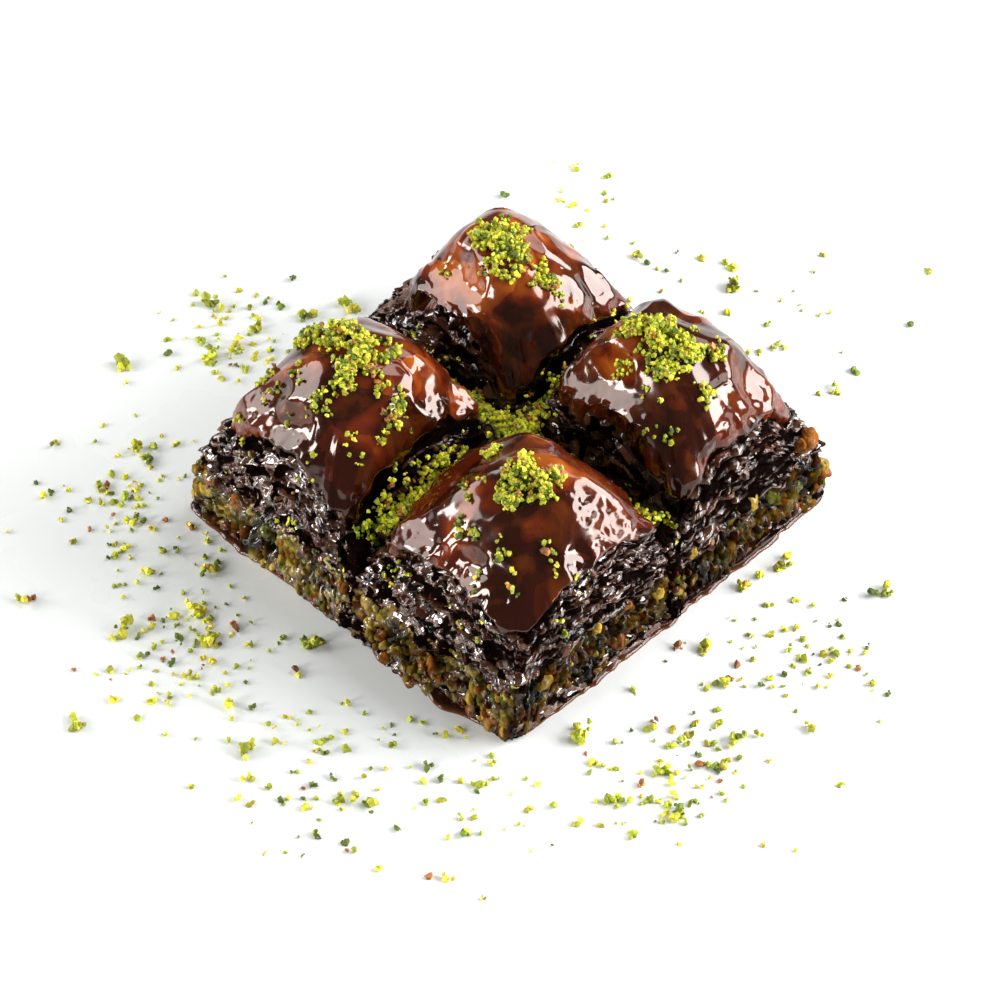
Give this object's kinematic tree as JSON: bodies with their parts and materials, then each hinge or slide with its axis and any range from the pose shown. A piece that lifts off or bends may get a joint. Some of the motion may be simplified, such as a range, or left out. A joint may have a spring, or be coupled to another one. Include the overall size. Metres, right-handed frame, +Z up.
{
  "type": "plate of pistachio baklava",
  "caption": "Domed, dark-glazed squares of nut-filled baklava topped with ground pistachio, standing in a block in syrup on a flat round white plate with scattered crumbs",
  "frame": {"origin": "middle of the plate's foot ring, on the surface that it stands on", "axes": "+Z up; the two cuts between the pieces run along X and Y and cross over the origin; the piece at -X -Y is the left one in the picture, and the piece at +X -Y is the front one"},
  "size_m": [0.32, 0.32, 0.0506],
  "materials": {
    "porcelain": "gloss",
    "syrup": "gloss",
    "base_pastry": "satin",
    "nut_filling": "satin",
    "crust": "gloss",
    "ground_pistachio": "matte"
  },
  "bodies": {
    "root": {"plate": "porcelain", "syrup_pool": "syrup", "pistachio_in_cuts": "ground_pistachio", "base_pastry_left": "base_pastry", "pistachio_filling_left": "nut_filling", "upper_pastry_left": "crust", "pistachio_heap_left": "ground_pistachio", "base_pastry_front": "base_pastry", "pistachio_filling_front": "nut_filling", "upper_pastry_front": "crust", "pistachio_heap_front": "ground_pistachio", "base_pastry_right": "base_pastry", "pistachio_filling_right": "nut_filling", "upper_pastry_right": "crust", "pistachio_heap_right": "ground_pistachio", "base_pastry_back": "base_pastry", "pistachio_filling_back": "nut_filling", "upper_pastry_back": "crust", "pistachio_heap_back": "ground_pistachio"}
  },
  "joints": []
}
